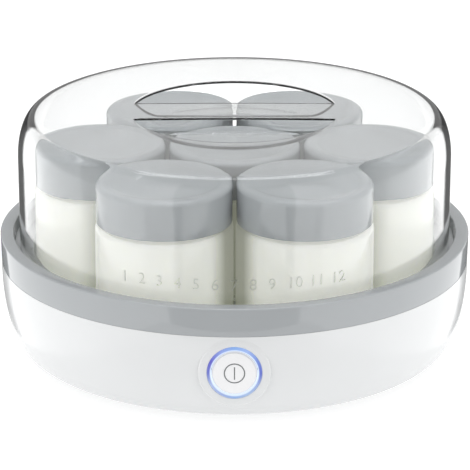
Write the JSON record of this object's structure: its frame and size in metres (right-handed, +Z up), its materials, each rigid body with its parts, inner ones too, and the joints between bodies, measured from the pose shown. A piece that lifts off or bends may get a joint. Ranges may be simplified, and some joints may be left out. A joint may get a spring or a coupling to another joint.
{
  "type": "yogurt maker",
  "caption": "Round heated yogurt maker: white bowl, grey collar, lit front button, capped glass jars in a basin, clear domed lid with a sunk handle.",
  "frame": {"origin": "centre of the surface that the feet stand on", "axes": "+Z up, -Y towards the front, where the button is, +X to the right seen from the front"},
  "size_m": [0.245, 0.245, 0.1281],
  "materials": {
    "white_plastic": "glossy white, moulded",
    "grey_plastic": "satin-gloss mid grey, moulded",
    "pan_coating": "smooth grey coating on a drawn aluminium basin",
    "foot_rubber": "matte",
    "screw_steel": "zinc plated",
    "light_pipe": "milky light pipe, lit blue",
    "button_plastic": "glossy white",
    "black_plastic": "matte",
    "switch_brown": "matte",
    "board_laminate": "solder-masked laminate",
    "led_epoxy": "clear epoxy",
    "relay_plastic": "matte",
    "capacitor_can": "sleeved can",
    "heater_silicone": "silicone mat",
    "ceramic_white": "glazed sleeve",
    "bracket_steel": "pressed sheet",
    "block_plastic": "natural nylon",
    "lead_brown": "insulated lead",
    "lead_red": "silicone lead",
    "bush_rubber": "matte",
    "clear_plastic": "clear, polished",
    "jar_clear_glass": "clear soda-lime glass",
    "cap_plastic": "light grey, glossy",
    "liner_foam": "foamed sealing disc"
  },
  "bodies": {
    "base": {"housing_bowl": "white_plastic", "collar_ring": "grey_plastic", "heating_pan": "pan_coating", "bottom_cover": "white_plastic", "rubber_feet": "foot_rubber", "cover_screws": "screw_steel", "collar_screws": "screw_steel", "pan_screws": "screw_steel", "light_ring": "light_pipe", "switch_body": "black_plastic", "control_board": "board_laminate", "board_screws": "screw_steel", "ring_leds": "led_epoxy", "board_relay": "relay_plastic", "board_capacitor": "capacitor_can", "heater_mat": "heater_silicone", "thermostat": "black_plastic", "thermal_fuse": "ceramic_white", "sensor_bracket": "bracket_steel", "bracket_screws": "screw_steel", "terminal_block": "block_plastic", "terminal_screw": "screw_steel", "mains_leads": "lead_brown", "heater_leads": "lead_red", "cord_bush": "bush_rubber"},
    "button": {"power_button": "button_plastic"},
    "plunger": {"switch_plunger": "switch_brown"},
    "lid": {"lid": "clear_plastic"},
    "jar_centre": {"jar_glass_centre": "jar_clear_glass"},
    "liner_centre": {"cap_liner_centre": "liner_foam"},
    "cap_centre": {"jar_cap_centre": "cap_plastic"},
    "jar_right": {"jar_glass_right": "jar_clear_glass"},
    "liner_right": {"cap_liner_right": "liner_foam"},
    "cap_right": {"jar_cap_right": "cap_plastic"},
    "jar_back_right": {"jar_glass_back_right": "jar_clear_glass"},
    "liner_back_right": {"cap_liner_back_right": "liner_foam"},
    "cap_back_right": {"jar_cap_back_right": "cap_plastic"},
    "jar_back_left": {"jar_glass_back_left": "jar_clear_glass"},
    "liner_back_left": {"cap_liner_back_left": "liner_foam"},
    "cap_back_left": {"jar_cap_back_left": "cap_plastic"},
    "jar_left": {"jar_glass_left": "jar_clear_glass"},
    "liner_left": {"cap_liner_left": "liner_foam"},
    "cap_left": {"jar_cap_left": "cap_plastic"},
    "jar_front_left": {"jar_glass_front_left": "jar_clear_glass"},
    "liner_front_left": {"cap_liner_front_left": "liner_foam"},
    "cap_front_left": {"jar_cap_front_left": "cap_plastic"},
    "jar_front_right": {"jar_glass_front_right": "jar_clear_glass"},
    "liner_front_right": {"cap_liner_front_right": "liner_foam"},
    "cap_front_right": {"jar_cap_front_right": "cap_plastic"}
  },
  "joints": [
    {"name": "button_press", "type": "slide", "parent": "base", "child": "button", "axis": [0, 1, 0], "range_m": [0, 0.001], "stiffness_N_per_m": 900},
    {"name": "plunger_press", "type": "slide", "parent": "base", "child": "plunger", "axis": [0, 1, 0], "range_m": [0, 0.001]},
    {"name": "lid_lift", "type": "slide", "parent": "base", "child": "lid", "axis": [0, 0, 1], "range_m": [0, 0.1]},
    {"name": "jar_centre_lift", "type": "slide", "parent": "base", "child": "jar_centre", "axis": [0, 0, 1], "range_m": [0, 0.004]},
    {"name": "cap_centre_rise", "type": "slide", "parent": "jar_centre", "child": "liner_centre", "axis": [0, 0, 1], "range_m": [0, 0.003]},
    {"name": "cap_centre_turn", "type": "hinge", "parent": "liner_centre", "child": "cap_centre", "pos_m": [0, 0, 0.1], "axis": [0, 0, 1], "range_deg": [0, 120.05]},
    {"name": "jar_right_lift", "type": "slide", "parent": "base", "child": "jar_right", "axis": [0, 0, 1], "range_m": [0, 0.004]},
    {"name": "cap_right_rise", "type": "slide", "parent": "jar_right", "child": "liner_right", "axis": [0, 0, 1], "range_m": [0, 0.003]},
    {"name": "cap_right_turn", "type": "hinge", "parent": "liner_right", "child": "cap_right", "pos_m": [0.07, 0, 0.1], "axis": [0, 0, 1], "range_deg": [0, 120.05]},
    {"name": "jar_back_right_lift", "type": "slide", "parent": "base", "child": "jar_back_right", "axis": [0, 0, 1], "range_m": [0, 0.004]},
    {"name": "cap_back_right_rise", "type": "slide", "parent": "jar_back_right", "child": "liner_back_right", "axis": [0, 0, 1], "range_m": [0, 0.003]},
    {"name": "cap_back_right_turn", "type": "hinge", "parent": "liner_back_right", "child": "cap_back_right", "pos_m": [0.035, 0.06062, 0.1], "axis": [0, 0, 1], "range_deg": [0, 120.05]},
    {"name": "jar_back_left_lift", "type": "slide", "parent": "base", "child": "jar_back_left", "axis": [0, 0, 1], "range_m": [0, 0.004]},
    {"name": "cap_back_left_rise", "type": "slide", "parent": "jar_back_left", "child": "liner_back_left", "axis": [0, 0, 1], "range_m": [0, 0.003]},
    {"name": "cap_back_left_turn", "type": "hinge", "parent": "liner_back_left", "child": "cap_back_left", "pos_m": [-0.035, 0.06062, 0.1], "axis": [0, 0, 1], "range_deg": [0, 120.05]},
    {"name": "jar_left_lift", "type": "slide", "parent": "base", "child": "jar_left", "axis": [0, 0, 1], "range_m": [0, 0.004]},
    {"name": "cap_left_rise", "type": "slide", "parent": "jar_left", "child": "liner_left", "axis": [0, 0, 1], "range_m": [0, 0.003]},
    {"name": "cap_left_turn", "type": "hinge", "parent": "liner_left", "child": "cap_left", "pos_m": [-0.07, 0, 0.1], "axis": [0, 0, 1], "range_deg": [0, 120.05]},
    {"name": "jar_front_left_lift", "type": "slide", "parent": "base", "child": "jar_front_left", "axis": [0, 0, 1], "range_m": [0, 0.004]},
    {"name": "cap_front_left_rise", "type": "slide", "parent": "jar_front_left", "child": "liner_front_left", "axis": [0, 0, 1], "range_m": [0, 0.003]},
    {"name": "cap_front_left_turn", "type": "hinge", "parent": "liner_front_left", "child": "cap_front_left", "pos_m": [-0.035, -0.06062, 0.1], "axis": [0, 0, 1], "range_deg": [0, 120.05]},
    {"name": "jar_front_right_lift", "type": "slide", "parent": "base", "child": "jar_front_right", "axis": [0, 0, 1], "range_m": [0, 0.004]},
    {"name": "cap_front_right_rise", "type": "slide", "parent": "jar_front_right", "child": "liner_front_right", "axis": [0, 0, 1], "range_m": [0, 0.003]},
    {"name": "cap_front_right_turn", "type": "hinge", "parent": "liner_front_right", "child": "cap_front_right", "pos_m": [0.035, -0.06062, 0.1], "axis": [0, 0, 1], "range_deg": [0, 120.05]}
  ],
  "couplings": [
    {"joint": "plunger_press", "follows": "button_press", "ratio": 1},
    {"joint": "cap_centre_turn", "follows": "cap_centre_rise", "rad_per_m": 698.13},
    {"joint": "cap_right_turn", "follows": "cap_right_rise", "rad_per_m": 698.13},
    {"joint": "cap_back_right_turn", "follows": "cap_back_right_rise", "rad_per_m": 698.13},
    {"joint": "cap_back_left_turn", "follows": "cap_back_left_rise", "rad_per_m": 698.13},
    {"joint": "cap_left_turn", "follows": "cap_left_rise", "rad_per_m": 698.13},
    {"joint": "cap_front_left_turn", "follows": "cap_front_left_rise", "rad_per_m": 698.13},
    {"joint": "cap_front_right_turn", "follows": "cap_front_right_rise", "rad_per_m": 698.13}
  ]
}
